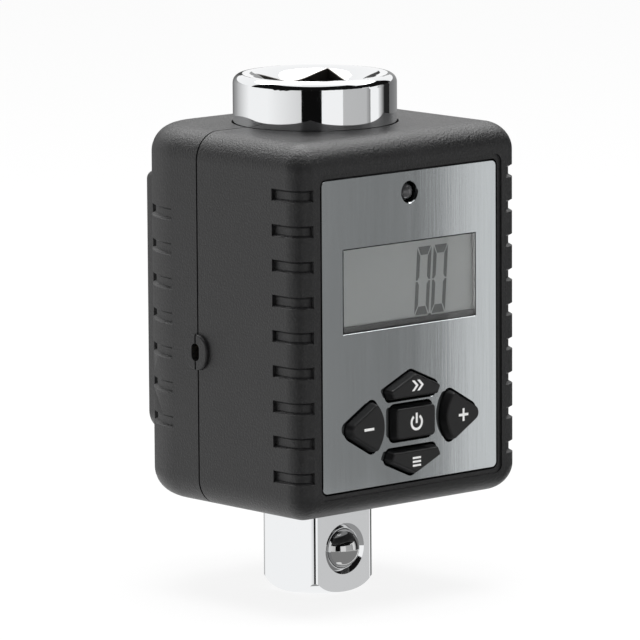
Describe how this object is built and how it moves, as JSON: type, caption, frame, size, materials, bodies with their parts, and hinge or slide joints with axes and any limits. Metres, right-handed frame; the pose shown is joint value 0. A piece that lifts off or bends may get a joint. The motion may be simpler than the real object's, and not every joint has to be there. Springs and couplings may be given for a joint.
{
  "type": "digital torque adapter",
  "caption": "In-line digital torque meter: a boxed display with keys round a shaft that has a square socket on top and a square drive with a detent ball below.",
  "frame": {"origin": "centre of the square drive's end face, on the shaft's axis", "axes": "+Z along the shaft from the square drive to the socket in the head, -Y out of the display, +X to the right of the display"},
  "size_m": [0.0468, 0.0474, 0.0816],
  "materials": {
    "chrome_steel": "polished chrome plating",
    "ball_steel": "polished hardened steel",
    "spring_steel": "drawn wire",
    "screw_steel": "blackened steel",
    "shell_plastic": "fine spark-eroded texture",
    "cover_plastic": "fine spark-eroded texture",
    "fascia_metal": "satin anodised, fine vertical brushing",
    "window_clear": "clear, glossy",
    "display_glass": "grey reflective display glass",
    "frame_plastic": "plain moulded",
    "strip_rubber": "layered conductive rubber",
    "lamp_lens": "smoky moulded lens",
    "key_rubber": "satin",
    "switch_plastic": "plain moulded",
    "plunger_plastic": "plain moulded",
    "board_laminate": "solder mask",
    "chip_resin": "moulded resin",
    "crystal_can": "plain can",
    "capacitor_ceramic": "ceramic",
    "buzzer_brass": "plain sheet",
    "gauge_foil": "amber film",
    "cell_jacket": "plain printed jacket",
    "contact_nickel": "nickel plate",
    "seal_rubber": "matt",
    "lead_sleeve": "soft sleeve"
  },
  "bodies": {
    "housing": {"drive_shaft": "chrome_steel", "detent_spring": "spring_steel", "strain_gauges": "gauge_foil", "front_shell": "shell_plastic", "rear_shell": "shell_plastic", "housing_screws": "screw_steel", "upper_seal": "seal_rubber", "lower_seal": "seal_rubber", "fascia": "fascia_metal", "display_window": "window_clear", "display_panel": "display_glass", "display_frame": "frame_plastic", "contact_strips": "strip_rubber", "status_lamp": "lamp_lens", "key_switches": "switch_plastic", "main_board": "board_laminate", "board_screws": "screw_steel", "controller_chip": "chip_resin", "amplifier_chip": "chip_resin", "clock_crystal": "crystal_can", "capacitors": "capacitor_ceramic", "buzzer": "buzzer_brass", "left_cell": "cell_jacket", "right_cell": "cell_jacket", "cell_springs": "spring_steel", "cell_plates": "contact_nickel", "battery_leads": "lead_sleeve", "gauge_leads": "lead_sleeve", "buzzer_lead": "lead_sleeve"},
    "detent": {"detent_ball": "ball_steel"},
    "cover": {"battery_cover": "cover_plastic"},
    "power": {"power_key": "key_rubber", "power_plunger": "plunger_plastic"},
    "upper": {"upper_key": "key_rubber", "upper_plunger": "plunger_plastic"},
    "lower": {"lower_key": "key_rubber", "lower_plunger": "plunger_plastic"},
    "plus": {"plus_key": "key_rubber", "plus_plunger": "plunger_plastic"},
    "minus": {"minus_key": "key_rubber", "minus_plunger": "plunger_plastic"}
  },
  "joints": [
    {"name": "power_press", "type": "slide", "parent": "housing", "child": "power", "axis": [0, 1, 0], "range_m": [0, 0.0005], "stiffness_N_per_m": 200, "springref_m": -0.0005},
    {"name": "upper_press", "type": "slide", "parent": "housing", "child": "upper", "axis": [0, 1, 0], "range_m": [0, 0.0005], "stiffness_N_per_m": 200, "springref_m": -0.0005},
    {"name": "lower_press", "type": "slide", "parent": "housing", "child": "lower", "axis": [0, 1, 0], "range_m": [0, 0.0005], "stiffness_N_per_m": 200, "springref_m": -0.0005},
    {"name": "plus_press", "type": "slide", "parent": "housing", "child": "plus", "axis": [0, 1, 0], "range_m": [0, 0.0005], "stiffness_N_per_m": 200, "springref_m": -0.0005},
    {"name": "minus_press", "type": "slide", "parent": "housing", "child": "minus", "axis": [0, 1, 0], "range_m": [0, 0.0005], "stiffness_N_per_m": 200, "springref_m": -0.0005},
    {"name": "detent_press", "type": "slide", "parent": "housing", "child": "detent", "axis": [0, 1, 0], "range_m": [0, 0.00175], "stiffness_N_per_m": 900, "springref_m": -0.001, "deforming": ["detent_spring"]},
    {"name": "cover_swing", "type": "hinge", "parent": "housing", "child": "cover", "pos_m": [0, 0.0199, 0.0225], "axis": [-1, 0, 0], "range_deg": [0, 60]}
  ]
}
